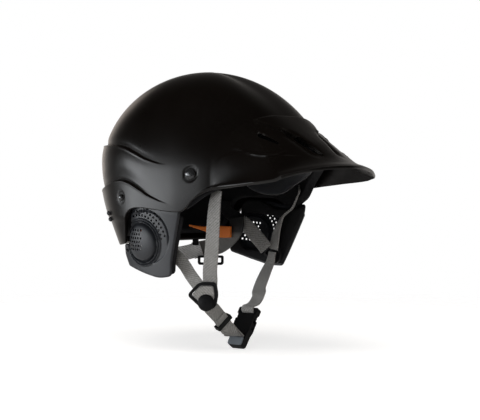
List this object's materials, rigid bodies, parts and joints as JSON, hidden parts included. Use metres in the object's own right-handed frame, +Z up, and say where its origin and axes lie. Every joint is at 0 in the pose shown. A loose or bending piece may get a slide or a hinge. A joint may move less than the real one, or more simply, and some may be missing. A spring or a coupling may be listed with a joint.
{
  "type": "water sports helmet",
  "caption": "Open-face whitewater helmet: deep moulded shell with a broad visor, perforated ear pads, webbing harness with side-release chin buckle and nape cradle.",
  "frame": {"origin": "centre of the head opening at the level of the side rim", "axes": "+Z up toward the crown, -Y forward toward the visor, -X toward the wearer's right"},
  "size_m": [0.2116, 0.3062, 0.2988],
  "materials": {
    "shell": "satin",
    "foam": "matte",
    "rivet": "gloss",
    "stud": "satin",
    "ear_plastic": "satin",
    "webbing": "woven",
    "black_webbing": "woven",
    "pale_plastic": "matte",
    "orange_plastic": "satin",
    "buckle_face": "satin",
    "black_plastic": "satin"
  },
  "bodies": {
    "helmet": {"outer_shell": "shell", "foam_liner": "foam", "brow_pad": "foam", "temple_rivets": "rivet", "nape_rivets": "rivet", "rear_studs": "stud", "front_strap_right": "webbing", "front_strap_left": "webbing", "rear_strap_right": "webbing", "rear_strap_left": "webbing", "divider_right": "black_plastic", "divider_left": "black_plastic", "divider_knob_right": "black_plastic", "strap_gather_right": "webbing", "chin_strap_right": "webbing", "chin_strap_left": "webbing", "strap_tail_right": "webbing", "buckle_pad": "buckle_face", "buckle_socket": "black_plastic", "nape_band": "webbing", "nape_plates": "pale_plastic", "nape_loops": "black_plastic", "nape_tabs": "black_plastic", "nape_hangers": "black_webbing"},
    "ear_pad_right": {"ear_cover_right": "ear_plastic", "ear_foam_right": "foam", "ear_rivet_right": "stud"},
    "ear_pad_left": {"ear_cover_left": "ear_plastic", "ear_foam_left": "foam", "ear_rivet_left": "stud"},
    "plug": {"buckle_plug": "black_plastic"},
    "prong_right": {"buckle_prong_right": "black_plastic"},
    "prong_left": {"buckle_prong_left": "black_plastic"},
    "slider": {"strap_slider": "black_plastic"},
    "adjuster_right": {"nape_adjuster_right": "orange_plastic"},
    "adjuster_left": {"nape_adjuster_left": "orange_plastic"}
  },
  "joints": [
    {"name": "ear_flex_right", "type": "hinge", "parent": "helmet", "child": "ear_pad_right", "pos_m": [-0.0985, 0, 0.003], "axis": [0, 1, 0], "range_deg": [0, 20], "stiffness_Nm_per_rad": 0.4},
    {"name": "ear_flex_left", "type": "hinge", "parent": "helmet", "child": "ear_pad_left", "pos_m": [0.0985, 0.001, 0.002], "axis": [0.0522, -0.9962, -0.0698], "range_deg": [0, 20], "stiffness_Nm_per_rad": 0.4},
    {"name": "plug_slide", "type": "slide", "parent": "helmet", "child": "plug", "axis": [0.5519, 0, 0.8339], "range_m": [0, 0.024], "deforming": ["chin_strap_left"]},
    {"name": "prong_squeeze_right", "type": "hinge", "parent": "plug", "child": "prong_right", "pos_m": [0.00747, -0.0246, -0.1192], "axis": [-0.8339, 0, 0.5519], "range_deg": [0, 7], "stiffness_Nm_per_rad": 0.05},
    {"name": "prong_squeeze_left", "type": "hinge", "parent": "plug", "child": "prong_left", "pos_m": [0.00747, -0.0394, -0.1192], "axis": [0.8339, 0, -0.5519], "range_deg": [0, 7], "stiffness_Nm_per_rad": 0.05},
    {"name": "slider_slide", "type": "slide", "parent": "helmet", "child": "slider", "axis": [0.7138, 0.0136, -0.7002], "range_m": [-0.003, 0.003]},
    {"name": "adjuster_slide_right", "type": "slide", "parent": "helmet", "child": "adjuster_right", "axis": [-0.4215, -0.9033, -0.0803], "range_m": [-0.004, 0]},
    {"name": "adjuster_slide_left", "type": "slide", "parent": "helmet", "child": "adjuster_left", "axis": [0.4215, -0.9033, -0.0803], "range_m": [-0.004, 0]}
  ]
}
